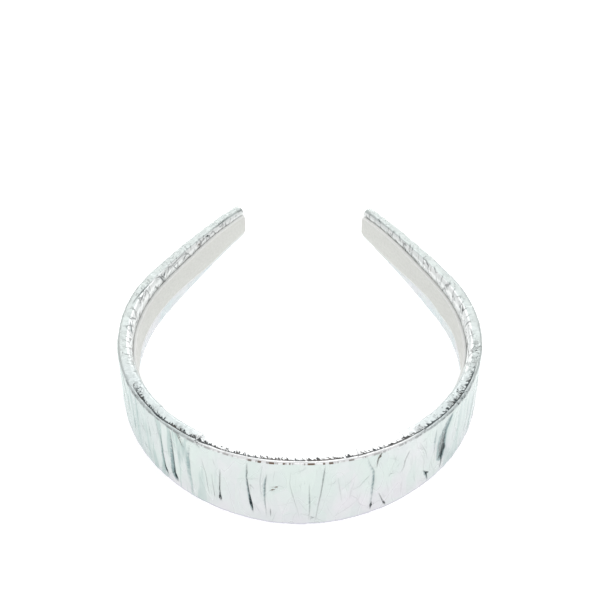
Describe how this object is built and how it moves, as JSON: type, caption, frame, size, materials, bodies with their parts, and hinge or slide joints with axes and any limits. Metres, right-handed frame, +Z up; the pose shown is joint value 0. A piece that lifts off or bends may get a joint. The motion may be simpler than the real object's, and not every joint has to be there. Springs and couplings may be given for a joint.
{
  "type": "plaque headband",
  "caption": "Wide stiff headband in a horseshoe shape, covered in crinkled pearl leather and lined, worn over the hair from ear to ear.",
  "frame": {"origin": "on the surface that the band lies on, under the middle of its bounding box", "axes": "+Z up from the lower rim, +Y from the middle of the crown towards the gap between the tips, +X to the right seen from the crown"},
  "size_m": [0.14, 0.143, 0.0373],
  "materials": {
    "pearl_leather": "crinkled leather with a pearly metallic skin",
    "grey_weave": "matt fine weave"
  },
  "bodies": {
    "root": {"covered_band": "pearl_leather", "lining_strip": "grey_weave"}
  },
  "joints": []
}
